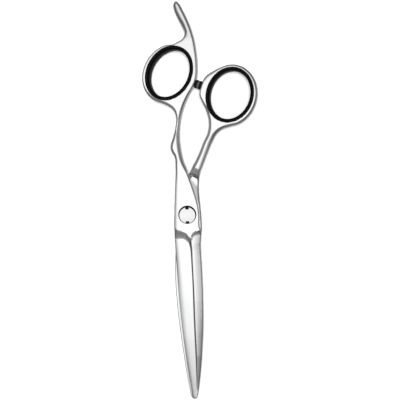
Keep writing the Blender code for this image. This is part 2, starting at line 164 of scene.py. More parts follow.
# Bumper, from its facet outwards, mm
FACET_HIGH = (9.6, 62.1)
FACET_LOW = (8.05, 58.2)
COLLAR_START = 1.28
STUD_TOP = 2.25
PAD_TOP = 3.45

# Turned profiles, from the axis down the outer side: radius and height, mm
HEAD_RECESS = [(0, OPEN_TOP), (4.8, OPEN_TOP), (RECESS_RADIUS + 0.06, PLATE_TOP + 0.02),
               (RECESS_RADIUS, PLATE_TOP - RECESS_BEVEL), (RECESS_RADIUS, RECESS_FLOOR), (BUSH_BORE, RECESS_FLOOR),
               (BUSH_BORE, 2.0), (0, 2.0)]
DISC_RECESS = [(0, 5.0), (4.7, 5.0), (4.7, 3.0), (2.7, 3.0), (2.7, 0.0), (0, 0.0)]
STEM_HOLE = [(0, 1.0), (0.9, 1.0), (0.9, -1.5), (0, -1.5)]
STUD = [(0, STUD_TOP), (1.85, STUD_TOP), (1.9, 1.3), (2.02, 1.2), (2.02, 0.05), (0.8, 0.05), (0.8, -1.3), (0, -1.3)]
PAD = [(0, PAD_TOP), (1.7, PAD_TOP), (2.0, 3.1), (2.0, 2.4), (1.9, STUD_TOP), (0, STUD_TOP)]
SCREW_SIDE = [(3.88, HEAD_TOP - 0.45), (3.9, 5.6), (1.95, 5.6), (1.95, 3.05), (THREAD_RADIUS, 2.92)]
SCREW_END = [(THREAD_RADIUS, 0.95), (1.3, 0.7), (0, 0.7)]
NUT = [(0, 0.5), (1.7, 0.5), (1.7, 2.35), (2.12, 2.35), (2.12, 2.9), (2.2, 2.9), (2.2, 0.8), (3.6, 0.8), (3.6, 0.2),
       (3.4, 0.0), (0, 0.0)]

# A point with this is a corner. Blender's automatic handles have the other number as their divisor.
CORNER = "corner"
AUTOMATIC_HANDLE = 2.5614

# Outlines: x, y, the radius of the rounded edge there and its drop where that isn't the radius, mm, counter-clockwise
# from above.
FINGER_SPINE = [(0.2, -86.0, 0.3), (0.95, -85.6, 0.3), (1.5, -84.3, 0.3), (1.95, -82.3, 0.3), (2.65, -78.0, 0.35),
                (3.75, -70.0, 0.4), (4.75, -60.0, 0.45), (5.45, -50.0, 0.45), (5.7, -40.0, 0.45), (5.75, -30.0, 0.45),
                (5.6, -20.0, 0.45), (5.5, -14.3, 0.45), (5.8, -11.0, 0.45), (6.0, -9.2, 0.45),
                (6.05, -7.4, 0.45)]
FINGER_RIGHT = [(5.35, -5.4, 0.4), (5.4, -1.0, 0.4), (5.1, 3.5, 0.4), (4.05, 8.5, 0.4), (2.55, 14.0, 0.5),
                (0.85, 19.8, 0.8), (-1.2, 25.5, 1.3), (-2.2, 31.0, 1.5), (-2.6, 37.0, 1.35), (-2.0, 43.5, 1.0),
                (-0.3, 50.0, 1.0), (2.2, 55.5, 0.8), (4.9, 60.0, 0.6), (6.3, 63.5, 0.55), (6.95, 70.0, 0.6),
                (6.5, 78.0, 0.7), (5.4, 84.5, 0.8), (3.5, 90.5, 0.9), (1.1, 96.0, 0.9)]
FINGER_REST = [(-0.8, 99.5, 0.9), (-2.0, 100.3, 1.0), (-3.1, 99.2, 1.6), (-3.0, 96.6, 2.2), (-1.7, 92.9, 2.5),
               (0.5, 88.2, 2.3), (1.7, 85.0, 1.6), (0.7, 82.5, 0.8), (-2.0, 80.9, 0.6)]
FINGER_LEFT = [(-7.3, 51.3, 1.4), (-4.9, 49.3, 1.3), (-3.7, 46.0, 1.0), (-4.1, 41.5, 1.0), (-5.5, 36.7, 1.3),
               (-6.9, 32.4, 1.5), (-6.5, 29.9, 1.5), (-5.1, 27.3, 1.3), (-4.8, 23.0, 1.3, 0.95),
               (-5.2, 14.0, 1.6, 0.7), (-5.95, 4.0, 2.0, 0.8), (-6.5, -6.0, 2.2, 0.9)]
FINGER_EDGE = [(-6.62, -10.0, 0.5), (-6.55, -13.0, 0.06), (-6.4, -20.0, 0.06), (-6.05, -30.0, 0.06),
               (-5.6, -40.0, 0.06), (-4.9, -50.0, 0.06), (-4.1, -60.0, 0.06), (-2.9, -70.0, 0.06),
               (-1.8, -78.0, 0.06), (-1.15, -83.0, 0.06), (-0.75, -85.2, 0.1), (-0.3, -85.85, 0.2)]

# The thumb half's outline is in its own frame, where +X is the object's -X.
THUMB_SPINE = [(0.2, -86.0, 0.3), (1.1, -85.7, 0.3), (1.8, -84.7, 0.3), (2.35, -82.3, 0.3), (3.0, -78.0, 0.35),
               (4.0, -70.0, 0.4), (5.15, -60.0, 0.45), (6.15, -50.0, 0.45), (6.85, -40.0, 0.45), (7.15, -30.0, 0.45),
               (6.8, -20.0, 0.45), (6.3, -13.0, 0.45), (5.95, -7.0, 0.45)]
THUMB_RIGHT = [(5.4, 0.0, 0.5), (4.6, 6.5, 0.6), (2.2, 13.5, 0.6), (-1.3, 19.9, 2.4), (-3.35, 23.2, 1.7),
               (-6.05, 28.0, 1.6), (-8.75, 34.0, 1.5), (-10.8, 38.2, 1.6), (-11.5, 43.0, 1.6), (-10.6, 48.0, 1.5),
               (-8.9, 52.2, 1.1), (-7.7, 55.6, 0.9), (-FACET_LOW[0], FACET_LOW[1], 0.6, CORNER),
               (-FACET_HIGH[0], FACET_HIGH[1], 0.6, CORNER),
               (-10.4, 63.6, 0.9), (-11.8, 65.1, 1.1), (-14.0, 66.4, 1.1)]
THUMB_LEFT = [(-17.7, 39.5, 1.2), (-15.0, 37.5, 1.4, 1.0), (-13.0, 34.4, 1.6, 0.75), (-10.4, 29.0, 1.6, 0.55),
              (-7.95, 23.3, 1.5, 0.5), (-6.25, 19.3, 1.0, 0.45), (-5.5, 15.0, 0.7), (-5.45, 8.5, 0.6),
              (-5.85, 3.0, 0.6), (-6.1, -2.0, 0.6), (-6.0, -8.6, 0.5), (-5.6, -11.0, 0.4)]
THUMB_EDGE = [(-5.3, -12.6, 0.1), (-5.15, -15.0, 0.06), (-5.1, -20.0, 0.06), (-4.9, -30.0, 0.06), (-4.6, -40.0, 0.06),
              (-4.1, -50.0, 0.06), (-3.4, -60.0, 0.06), (-2.4, -70.0, 0.06), (-1.4, -78.0, 0.06),
              (-0.8, -83.0, 0.06), (-0.4, -85.2, 0.1), (-0.05, -85.85, 0.2)]

# Where the cutting bevel's hollow ends: across the plate's end and down beside the ridge, mm
HOLLOW_END = [(-9.0, -10.6), (-6.6, -10.7), (-4.3, -10.8), (-2.6, -11.0), (-1.6, -11.35), (-0.85, -11.85),
              (-0.35, -12.4), (0.05, -13.1), (0.4, -14.5), (0.7, -16.4), (0.8, -19.0), (0.87, -22.0), (1.0, -28.0),
              (1.05, -34.0), (1.0, -42.0), (1.0, -50.0), (1.05, -58.0), (1.15, -68.0), (1.15, -76.0), (1.0, -84.0),
              (0.8, -90.0)]
# Where the back bevel's hollow ends, mm
BACK_END = [(1.45, -13.0), (1.75, -11.5), (2.2, -10.3), (3.4, -9.45), (5.3, -9.2), (9.0, -9.0)]
# The thumb half's inner face is relieved under its step, and ramps up from this line, in the object's frame. The
# relief fades between two distances from the pivot towards the step, mm
DIP_LINE = ((1.4, 17.6), (5.2, 12.8))
DIP_SLOPE = 0.2
DIP_LENGTH = 4.5
DIP_AWAY = (17.4, 17.9)

# Brightness along each component of the direction, from -1 to 1, and the ceiling's share against the sides'
CEILING_X = [(-1.0, 0.07), (-0.97, 0.14), (-0.93, 0.28), (-0.866, 0.43), (-0.786, 0.6), (-0.695, 0.74),
             (-0.61, 0.86), (-0.51, 0.97), (-0.45, 1.0), (-0.03, 1.0), (0.05, 0.95), (0.1, 0.88), (0.2, 0.78),
             (0.34, 0.6), (0.5, 0.46), (0.7, 0.35), (0.87, 0.26), (1.0, 0.19)]
CEILING_Y = [(-1.0, 0.13), (-0.8, 0.18), (-0.5, 0.29), (-0.3, 0.4), (-0.18, 0.54), (-0.16, 0.65), (-0.148, 0.78),
             (-0.13, 0.93), (-0.11, 1.0), (0.05, 1.0), (0.09, 0.9), (0.13, 0.84), (0.2, 0.7), (0.35, 0.5), (0.6, 0.33),
             (0.85, 0.24), (1.0, 0.18)]
SIDES_Z = [(-1.0, 0.36), (-0.6, 0.3), (-0.3, 0.2), (-0.12, 0.1), (0.0, 0.08), (1.0, 0.08)]
CEILING_SHARE_Z = [(-0.05, 0.0), (0.12, 1.0)]
WORLD_STRENGTH = 1.25
KEY_STRENGTH = 3.2

# Camera: its aim, how far off it stands, the width that it sees there, and how it leans and rolls, mm and degrees
AIM = (6.07, 6.92, 5.0)
DISTANCE = 600.0
VIEW_WIDTH = 186.6
LEAN_RIGHT = 6.8
ROLL = 2.18


# ---------------------------------------------------------------- outlines

def smooth_line(points, closed, samples=24):
    """Samples of the automatic Bezier curve through points, one row of the points' values each."""
    places = np.array([p[:2] for p in points], float)
    rest = np.array([[float(v) for v in p[2:] if v != CORNER] for p in points]).reshape(len(points), -1)
    sharp = [CORNER in p for p in points]
    count = len(points)
    before, after = np.zeros_like(places), np.zeros_like(places)
    for i in range(count):
        last = places[(i - 1) % count] if closed or i else 2 * places[0] - places[1]
        following = places[(i + 1) % count] if closed or i < count - 1 else 2 * places[-1] - places[-2]
        back, ahead = places[i] - last, following - places[i]
        back_length, ahead_length = np.linalg.norm(back), np.linalg.norm(ahead)
        if sharp[i]:
            before[i], after[i] = places[i] - back / 3, places[i] + ahead / 3
            continue
        turn = back / back_length + ahead / ahead_length
        scale = np.linalg.norm(turn) * AUTOMATIC_HANDLE
        before[i] = places[i] - turn * back_length / scale
        after[i] = places[i] + turn * ahead_length / scale
    rows, corners = [], []
    for i in range(count if closed else count - 1):
        j = (i + 1) % count
        if sharp[i]:
            corners.append(len(rows))
        for t in np.arange(samples) / samples:
            s = 1 - t
            place = s**3 * places[i] + 3 * s * s * t * after[i] + 3 * s * t * t * before[j] + t**3 * places[j]
            rows.append(np.concatenate([place, s * rest[i] + t * rest[j]]))
    if not closed:
        rows.append(np.concatenate([places[-1], rest[-1]]))
    return np.array(rows), corners


def evenly(rows, corners, closed, spacing):
    """The line resampled at about even spacing, with its corners kept."""
    if closed:
        start = corners[0] if corners else 0
        rows = np.roll(rows, -start, axis=0)
        stops = [c - start for c in corners] or [0]
        rows = np.vstack([rows, rows[:1]])
        stops = sorted(set(stops)) + [len(rows) - 1]
    else:
        stops = [0, len(rows) - 1]
    made = []
    for first, last in zip(stops, stops[1:]):
        part = rows[first : last + 1]
        along = np.concatenate([[0], np.cumsum(np.linalg.norm(np.diff(part[:, :2], axis=0), axis=1))])
        steps = max(1, round(along[-1] / spacing))
        wanted = np.linspace(0, along[-1], steps + 1)[:-1]
        made.append(np.column_stack([np.interp(wanted, along, part[:, c]) for c in range(part.shape[1])]))
    if not closed:
        made.append(rows[-1:])
    return np.vstack(made)


def with_drop(points):
    """Outline points with the drop of their rounded edge, which is its radius where none is given."""
    made = []
    for point in points:
        values = [v for v in point if v != CORNER]
        made.append(tuple(values) + (values[-1],) * (len(values) == 3) + (CORNER,) * (CORNER in point))
    return made


def outline(points, closed=True, spacing=SPACING):
    """An even line through outline points."""
    rows, corners = smooth_line(points, closed)
    return evenly(rows, corners, closed, spacing)


def ellipse(centre, radii, tilt, start, stop, edges):
    """Outline points on a tilted ellipse, from angle start to stop in degrees, one for each edge radius."""
    across, along = radii
    points = []
    for angle, edge in zip(np.radians(np.linspace(start, stop, len(edges))), edges):
        x, y = across * math.cos(angle), along * math.sin(angle)
        points.append((centre[0] + x * math.cos(tilt) - y * math.sin(tilt),
                       centre[1] + x * math.sin(tilt) + y * math.cos(tilt), edge))
    return points


def inward(loop):
    """Unit vectors to the left of a closed loop, stretched at its corners."""
    ahead = np.roll(loop, -1, axis=0) - loop
    back = loop - np.roll(loop, 1, axis=0)
    ahead /= np.linalg.norm(ahead, axis=1, keepdims=True)
    back /= np.linalg.norm(back, axis=1, keepdims=True)
    along = ahead + back
    along /= np.linalg.norm(along, axis=1, keepdims=True)
    stretch = np.clip(1 / np.maximum((along * ahead).sum(axis=1, keepdims=True), 0.5), 1, 1.5)
    return np.column_stack([-along[:, 1], along[:, 0]]) * stretch


def inside(points, loop):
    """Which points lie in a closed loop."""
    x, y = points[:, 0:1], points[:, 1:2]
    ax, ay = loop[:, 0], loop[:, 1]
    bx, by = np.roll(ax, -1), np.roll(ay, -1)
    crosses = (ay > y) != (by > y)
    with np.errstate(divide="ignore", invalid="ignore"):
        crossing = ax + (y - ay) * (bx - ax) / (by - ay)
    return (crosses & (x < crossing)).sum(axis=1) % 2 == 1


def at(table, y):
    """A table of y and value pairs read at y."""
    return np.interp(y, [row[0] for row in table], [row[1] for row in table])


def side_distance(x, y, line):
    """Signed distance from points to an open line, positive on its left, and the y of the nearest spot on it."""
    points = np.column_stack([np.ravel(x), np.ravel(y)])
    best, sign, foot = np.full(len(points), np.inf), np.ones(len(points)), np.zeros(len(points))
    for a, b in zip(line, line[1:]):
        run = b - a
        t = np.clip(((points - a) @ run) / (run @ run), 0, 1)
        offset = points - (a + t[:, None] * run)
        distance = np.hypot(offset[:, 0], offset[:, 1])
        nearer = distance < best
        best = np.where(nearer, distance, best)
        sign = np.where(nearer, np.sign(run[0] * offset[:, 1] - run[1] * offset[:, 0]), sign)
        foot = np.where(nearer, a[1] + t * run[1], foot)
    return (best * sign).reshape(np.shape(x)), foot.reshape(np.shape(x))


def new_object(name, bm, place=None):
    """A linked object made from a bmesh, with the placement baked into its mesh."""
    mesh = bpy.data.meshes.new(name)
    bm.to_mesh(mesh)
    bm.free()
    if place is not None:
        mesh.transform(place)
    made = bpy.data.objects.new(name, mesh)
    bpy.context.scene.collection.objects.link(made)
    return made


# ---------------------------------------------------------------- a half's two faces

class BladeFaces:
    """Heights of a half's outer face and inner face, in its own frame.

    rest is how far each face is drawn in at the end of the finger rest, and dip says whether the inner
    face is relieved under the step.
    """

    def __init__(self, spine, edge, step, rest, dip):
        self.spine = smooth_line(spine, False)[0]
        self.edge = smooth_line(edge, False)[0][::-1]
        self.hollow_end = outline(HOLLOW_END, False, CREASE_SPACING)
        self.back_end = outline(BACK_END, False, CREASE_SPACING)
        self.step = step
        self.rest = rest
        self.dip = dip

    def widths(self, y):
        """The blade's edge and spine across X at y."""
        return (np.interp(y, self.edge[:, 1], self.edge[:, 0]), np.interp(y, self.spine[:, 1], self.spine[:, 0]))

    def thinning(self, y):
        """How far each face is drawn in on the finger rest."""
        return self.rest * np.clip((y - REST_Y) / REST_LENGTH, 0, 1) ** REST_POWER

    def cutting_bevel(self, x, y):
        """The hollow bevel at the edge, with the wall where it ends."""
        edge, _ = self.widths(y)
        high = at(BEVEL_RISE, y)
        crest = np.interp(y, self.hollow_end[::-1, 1], self.hollow_end[::-1, 0])
        crest = np.where(y > CREST_Y, CREST, crest)
        share = np.clip((x - edge) / np.maximum(crest - edge, LEAST_WIDTH), 0, 1)
        bevel = EDGE_LAND + (high - EDGE_LAND) * (1 - (1 - share) ** at(BEVEL_POWER, y))
        beyond, foot = side_distance(x, y, self.hollow_end)
        beyond = np.maximum(beyond, 0)
        return FLOOR + bevel + at(WALL_SLOPE, foot) * beyond**2 / (beyond + at(WALL_FILLET, foot))

    def back_bevel(self, x, y):
        """The bevel from the ridge down to the spine, with the slope where it ends."""
        _, spine = self.widths(y)
        share = np.clip((x - BACK_START) / np.maximum(spine - BACK_START, LEAST_WIDTH), 0, 1.1)
        beyond, foot = side_distance(x, y, self.back_end)
        beyond = np.maximum(beyond, 0)
        fillet = at(SPINE_FILLET, foot)
        rise = np.where(beyond < fillet, beyond**2 / (2 * fillet), beyond - fillet / 2)
        ridge = at(BEVEL_RISE, y) + at(WALL_RISE, y)
        return FLOOR + ridge - at(BACK_FALL, y) * share**BACK_POWER + SPINE_SLOPE * rise

    def outer(self, x, y):
        """The face with the bevels."""
        plain = HANDLE_HIGH - self.thinning(y)
        blade = y < RUNOUT_Y + BLADE_REACH
        cut = np.where(blade, np.minimum(self.cutting_bevel(x, y), self.back_bevel(x, y)), plain)
        return np.minimum(plain, cut)

    def inner(self, x, y):
        """The face on the cutting plane, with the step down to the handle's full thickness."""
        turn, profile = self.step
        away = x * math.sin(turn) + y * math.cos(turn)
        low = HANDLE_LOW + self.thinning(y)
        edge, spine = self.widths(np.minimum(y, RUNOUT_Y))
        share = np.clip((x - edge) / (spine - edge), 0, 1)
        ground = HOLLOW_DEPTH * 4 * share * (1 - share) * np.clip((HOLLOW_START - y) / HOLLOW_RUN, 0, 1)
        if self.dip:
            (ax, ay), (bx, by) = DIP_LINE
            length = math.hypot(bx - ax, by - ay)
            beyond = ((x + ax) * (by - ay) + (y - ay) * (bx - ax)) / -length
            relief = DIP_SLOPE * (DIP_LENGTH - np.clip(beyond, 0, DIP_LENGTH))
            ground = ground + relief * np.interp(away, DIP_AWAY, (1, 0))
        return np.maximum(np.interp(away, [p[0] for p in profile], [p[1] for p in profile]) + ground, low)

    def creases(self):
        """Lines on the outer face where it bends sharply: the hollow's end, the ridge and the plate's V."""
        lines = [self.hollow_end]
        for line, own, other in ((self.hollow_end, self.cutting_bevel, self.back_bevel),
                                 (self.back_end, self.back_bevel, self.cutting_bevel)):
            steps = np.gradient(line, axis=0)
            steps /= np.linalg.norm(steps, axis=1, keepdims=True)
            left = np.column_stack([-steps[:, 1], steps[:, 0]])
            low, high = np.zeros(len(line)), np.full(len(line), CREASE_REACH)
            for _ in range(BISECTIONS):
                middle = (low + high) / 2
                spot = line + left * middle[:, None]
                over = own(*spot.T) > np.minimum(PLATE_TOP, other(*spot.T))
                high, low = np.where(over, middle, high), np.where(over, low, middle)
            lines.append(line + left * high[:, None])
        return lines

    def step_lines(self):
        """Lines across the shank on the inner face where its step bends."""
        turn, profile = self.step
        lines = []
        for away, _ in profile[1:-1]:
            middle = np.array([away * math.sin(turn), away * math.cos(turn)])
            across = np.array([math.cos(turn), -math.sin(turn)])
            lines.append(np.array([middle + across * t for t in np.arange(-STEP_REACH, STEP_REACH + 0.01, SPACING)]))
        return lines


def clear_of(points, loops, distance):
    """The points that keep their distance from every vertex of the loops."""
    everything = np.vstack(loops)
    tree = kdtree.KDTree(len(everything))
    for index, place in enumerate(everything):
        tree.insert((place[0], place[1], 0), index)
    tree.balance()
    far = [tree.find((p[0], p[1], 0))[2] > distance for p in points]
    return points[np.array(far, bool)]


def fill(loops, lines, points):
    """Triangles between an outer loop and its holes, along the lines. Returns places, triangles and loop indices."""
    outer, holes = loops[0], loops[1:]
    places, edges, starts = [], [], []
    for loop in loops:
        first = len(places)
        starts.append(first)
        places.extend(loop.tolist())
        edges.extend((first + i, first + (i + 1) % len(loop)) for i in range(len(loop)))
    for line in lines:
        keep = inside(line, outer)
        for hole in holes:
            keep &= ~inside(line, hole)
        near = clear_of(line[keep], loops, LINE_CLEARANCE)
        run = [tuple(p) for p in near]
        for a, b in zip(run, run[1:]):
            if math.dist(a, b) < LINE_GAP:
                places.extend((a, b))
                edges.append((len(places) - 2, len(places) - 1))
    keep = inside(points, outer)
    for hole in holes:
        keep &= ~inside(points, hole)
    points = clear_of(points[keep], [np.array(places)], POINT_CLEARANCE)
    places.extend(points.tolist())
    made, _, faces, sources, _, _ = delaunay_2d_cdt([Vector(p) for p in places], edges, [], 0, 1e-5)
    made = np.array([tuple(p) for p in made])
    faces = np.array([f for f in faces if len(f) == 3])
    middle = made[faces].mean(axis=1)
    keep = inside(middle, outer)
    for hole in holes:
        keep &= ~inside(middle, hole)
    new_index = {}
    for index, origin in enumerate(sources):
        for source in origin:
            new_index[source] = index
    rims = [[new_index[first + i] for i in range(len(loop))] for first, loop in zip(starts, loops)]
    return made, faces[keep], rims


def half_mesh(name, faces, loops, blade_rows):
    """A closed mesh between a half's two faces, with edges rounded to the radius that each outline point has."""
    bm = bmesh.new()
    rows = np.radians(np.linspace(0, 90, RIM_STEPS))
    profiles, rings, inner_loops = {}, {}, {}
    for side, height in ((1, faces.outer), (-1, faces.inner)):
        side_loops = []
        for which, loop in enumerate(loops):
            place = loop[:, :2]
            normal = inward(place)
            thick = faces.outer(place[:, 0], place[:, 1]) - faces.inner(place[:, 0], place[:, 1])
            radius = loop[:, 2]
            drop = np.minimum(loop[:, 3], MOST_DROP * thick)
            level = []
            for angle in rows:
                spot = place + normal * (radius * (1 - math.cos(angle) ** RIM_POWER))[:, None]
                z = height(spot[:, 0], spot[:, 1]) - side * drop * (1 - math.sin(angle) ** RIM_POWER)
                level.append(np.column_stack([spot, z]))
            side_loops.append(level[-1][:, :2])
            profiles[side, which] = level
        inner_loops[side] = side_loops
    for which in range(len(loops)):
        levels = profiles[-1, which][::-1] + profiles[1, which]
        rings[which] = [[bm.verts.new(Vector(p) * MM) for p in level] for level in levels]
        for lower, upper in zip(rings[which], rings[which][1:]):
            count = len(lower)
            for i in range(count):
                j = (i + 1) % count
                bm.faces.new((lower[i], lower[j], upper[j], upper[i]))
    for side, height, lines in ((1, faces.outer, faces.creases()), (-1, faces.inner, faces.step_lines())):
        low, high = inner_loops[side][0].min(axis=0), inner_loops[side][0].max(axis=0)
        heights = np.arange(RUNOUT_Y - BLADE_OVERLAP, high[1], GRID)
        grid = np.array([(x + GRID / 2 * (row % 2), y) for row, y in enumerate(heights)
                         for x in np.arange(low[0], high[0], GRID)])
        points = np.vstack([grid, blade_rows])
        places, triangles, rims = fill(inner_loops[side], lines, points)
        z = height(places[:, 0], places[:, 1])
        verts = [None] * len(places)
        for which, rim in enumerate(rims):
            edge_verts = rings[which][-1 if side == 1 else 0]
            for vert, index in zip(edge_verts, rim):
                verts[index] = vert
        for triangle in triangles:
            corner = []
            for index in triangle:
                if verts[index] is None:
                    verts[index] = bm.verts.new(Vector((places[index][0], places[index][1], z[index])) * MM)
                corner.append(verts[index])
            bm.faces.new(corner if side == 1 else corner[::-1])
    bmesh.ops.recalc_face_normals(bm, faces=bm.faces)
    return new_object(name, bm)


def blade_points(faces):
    """Points in rows down the blade, closer together where its face curves more."""
    rows = []
    for y in np.arange(RUNOUT_Y - BLADE_OVERLAP, TIP_Y, -BLADE_STEP):
        edge, spine = faces.widths(y)
        crest = CREST if y > CREST_Y else float(np.interp(y, faces.hollow_end[::-1, 1], faces.hollow_end[::-1, 0]))
        rows.extend((edge + (crest - edge) * share, y) for share in BEVEL_SHARES)
        rows.extend((BACK_ROWS_X + (spine - BACK_ROWS_X) * share, y) for share in BACK_SHARES)
    return np.array(rows, float)


# ---------------------------------------------------------------- small solids

def turned(name, profile, segments=96, place=None):
    """A solid of revolution about Z. The profile runs from the axis or bore at the top down its outer side."""
    bm = bmesh.new()
    rings = []
    for radius, height in profile:
        if radius == 0:
            rings.append([bm.verts.new((0, 0, height * MM))])
            continue
        rings.append([bm.verts.new((radius * MM * math.cos(a), radius * MM * math.sin(a), height * MM))
                      for a in np.linspace(0, 2 * math.pi, segments, endpoint=False)])
    pairs = list(zip(rings, rings[1:]))
    if profile[0][0] > 0:
        pairs.append((rings[-1], rings[0]))
    for upper, lower in pairs:
        for i in range(segments):
            j = (i + 1) % segments
            corners = [upper[i % len(upper)], lower[i % len(lower)], lower[j % len(lower)], upper[j % len(upper)]]
            bm.faces.new(list(dict.fromkeys(corners)))
    bmesh.ops.recalc_face_normals(bm, faces=bm.faces)
    return new_object(name, bm, place)


def rounded(corners, radius, steps=4):
    """A profile with its inner corners rounded."""
    made = [corners[0]]
    for last, here, following in zip(corners, corners[1:], corners[2:]):
        here, back, ahead = Vector(here), Vector(last) - Vector(here), Vector(following) - Vector(here)
        reach = min(radius, back.length * 0.45, ahead.length * 0.45)
        start, end = here + back.normalized() * reach, here + ahead.normalized() * reach
        for t in np.linspace(0, 1, steps + 1):
            made.append(tuple(start.lerp(here, t).lerp(here.lerp(end, t), t)))
    made.append(corners[-1])
    return made


def cut(target, *cutters):
    """Cuts helpers out of a piece for good, and removes them."""
    for cutter in cutters:
        modifier = target.modifiers.new("cut", "BOOLEAN")
        modifier.operation = "DIFFERENCE"
        modifier.object = cutter
    bpy.context.view_layer.update()
    mesh = bpy.data.meshes.new_from_object(target.evaluated_get(bpy.context.evaluated_depsgraph_get()))
    target.modifiers.clear()
    target.data = mesh
    for cutter in cutters:
        bpy.data.objects.remove(cutter, do_unlink=True)


def ring_insert(name, centre, radii, tilt, thicker):
    """An oval ring with lips over both faces of the steel ring and a gently crowned bore, thicker on one side."""
    lip_high = HANDLE_HIGH + LIP_GAP
    lip_low = HANDLE_LOW - LIP_GAP
    neck = -LIP - NECK_GAP
    corners = [(-INSERT_FLAT, INSERT_HIGH), (0.0, INSERT_HIGH), (0.0, lip_high), (neck, lip_high), (neck, lip_low),
               (0.0, lip_low), (0.0, INSERT_LOW), (-INSERT_FLAT, INSERT_LOW)]
    section = rounded(corners, INSERT_ROUNDING, 5)
    crown = [(-INSERT_WALL + CROWN * (1 - math.cos(t)) ** CROWN_POWER, (INSERT_HIGH / 2) * (1 - math.sin(t)))
             for t in np.linspace(-math.pi / 2, math.pi / 2, 17)]
    section = section[:-1] + crown + section[1:2]
    turns = np.linspace(0, 2 * math.pi, INSERT_TURNS, endpoint=False)
    across, along = radii
    bm = bmesh.new()
    rings = []
    for angle in turns:
        place = Vector((across * math.cos(angle), along * math.sin(angle), 0))
        normal = Vector((along * math.cos(angle), across * math.sin(angle), 0)).normalized()
        extra = thicker * max(0, normal.dot(THICKER_SIDE)) / INSERT_WALL
        rings.append([bm.verts.new((place + normal * out * (1 + extra * (out < -LIP)) + Vector((0, 0, z))) * MM)
                      for out, z in section])
    for first, second in zip(rings, rings[1:] + rings[:1]):
        for i in range(len(section)):
            j = (i + 1) % len(section)
            bm.faces.new((first[i], first[j], second[j], second[i]))
    bmesh.ops.remove_doubles(bm, verts=bm.verts, dist=1e-7)
    bmesh.ops.recalc_face_normals(bm, faces=bm.faces)
    return new_object(name, bm, Matrix.Translation(Vector((*centre, 0)) * MM) @ Matrix.Rotation(tilt, 4, "Z"))


def shade(made, material, angle=30):
    """Gives a piece its material, unless it has some already, and shades it smooth between its sharp edges."""
    if not made.data.materials:
        made.data.materials.append(material)
    made.data.shade_smooth()
    made.data.set_sharp_from_angle(angle=math.radians(angle))


# ---------------------------------------------------------------- materials

class Nodes:
    """Short calls for building one material's nodes."""

    def __init__(self, name):
        self.material = bpy.data.materials.new(name)
        self.material.use_nodes = True
        self.tree = self.material.node_tree
        self.shader = self.tree.nodes["Principled BSDF"]

    def add(self, kind, values=(), **settings):
        """A new node with its settings and its inputs' values."""
        node = self.tree.nodes.new(kind)
        for key, value in settings.items():
            setattr(node, key, value)
        for key, value in dict(values).items():
            node.inputs[key].default_value = value
        return node

    def link(self, source, target):
        self.tree.links.new(source, target)

    def coordinates(self, scale):
        """Object coordinates in millimetres times a scale along each axis."""
        place = self.add("ShaderNodeTexCoord")
        mapping = self.add("ShaderNodeMapping", {"Scale": [1000 * s for s in scale]})
        self.link(place.outputs["Object"], mapping.inputs["Vector"])
        return mapping.outputs["Vector"]

    def noise(self, scale, detail=3.0, roughness=0.55):
        """Noise at a scale per millimetre along each axis."""
        node = self.add("ShaderNodeTexNoise", {"Scale": 1.0, "Detail": detail, "Roughness": roughness})
        self.link(self.coordinates(scale), node.inputs["Vector"])
        return node.outputs["Fac"]

    def ramp(self, source, low, high, from_low=0.0, from_high=1.0):
        """A value mapped from one range to another."""
        node = self.add("ShaderNodeMapRange", {"From Min": from_low, "From Max": from_high,
                                               "To Min": low, "To Max": high})
        self.link(source, node.inputs["Value"])
        return node.outputs["Result"]

    def math(self, operation, a, b):
        """A sum, product or the like of two values, each a number or a socket."""
        node = self.add("ShaderNodeMath", operation=operation)
        for socket, value in zip(node.inputs, (a, b)):
            if isinstance(value, (int, float)):
                socket.default_value = value
            else:
                self.link(value, socket)
        return node.outputs["Value"]

    def mix(self, share, first, second):
        """A blend of two colours."""
        node = self.add("ShaderNodeMix", data_type="RGBA")
        self.link(share, node.inputs["Factor"])
        node.inputs["A"].default_value = (*first, 1)
        node.inputs["B"].default_value = (*second, 1)
        return node.outputs["Result"]

    def bump(self, height, strength, distance_mm):
        """Relief on the material's surface."""
        node = self.add("ShaderNodeBump", {"Strength": strength, "Distance": distance_mm * MM})
        self.link(height, node.inputs["Height"])
        self.link(node.outputs["Normal"], self.shader.inputs["Normal"])

    def set(self, **values):
        """Constants of the shader, with an underscore for each space in a name."""
        for key, value in values.items():
            self.shader.inputs[key.replace("_", " ")].default_value = value


def steel(name, light, dark, rough, grain, grain_depth):
    """Polished steel: fine scratches along the grain, faint smudges, and edges worn a little brighter."""
    n = Nodes(name)
    n.set(Metallic=1.0)
    lines = n.noise(grain, 4.0, 0.6)
    smudge = n.noise((0.11, 0.07, 0.11), 3.0, 0.6)
    specks = n.noise((2.6, 2.1, 2.6), 2.0, 0.5)
    wear = n.add("ShaderNodeNewGeometry").outputs["Pointiness"]
    worn = n.ramp(wear, 0.0, 1.0, 0.52, 0.62)
    tone = n.math("ADD", n.ramp(smudge, 0.0, 0.7), n.math("MULTIPLY", worn, 0.4))
    n.link(n.mix(tone, dark, light), n.shader.inputs["Base Color"])
    shine = n.math("ADD", n.ramp(smudge, rough - 0.03, rough + 0.05), n.ramp(lines, -0.03, 0.05))
    shine = n.math("ADD", shine, n.math("MULTIPLY", worn, 0.05))
    n.link(shine, n.shader.inputs["Roughness"])
    n.bump(n.math("ADD", lines, n.math("MULTIPLY", specks, 0.25)), 0.5, grain_depth)
    return n.material


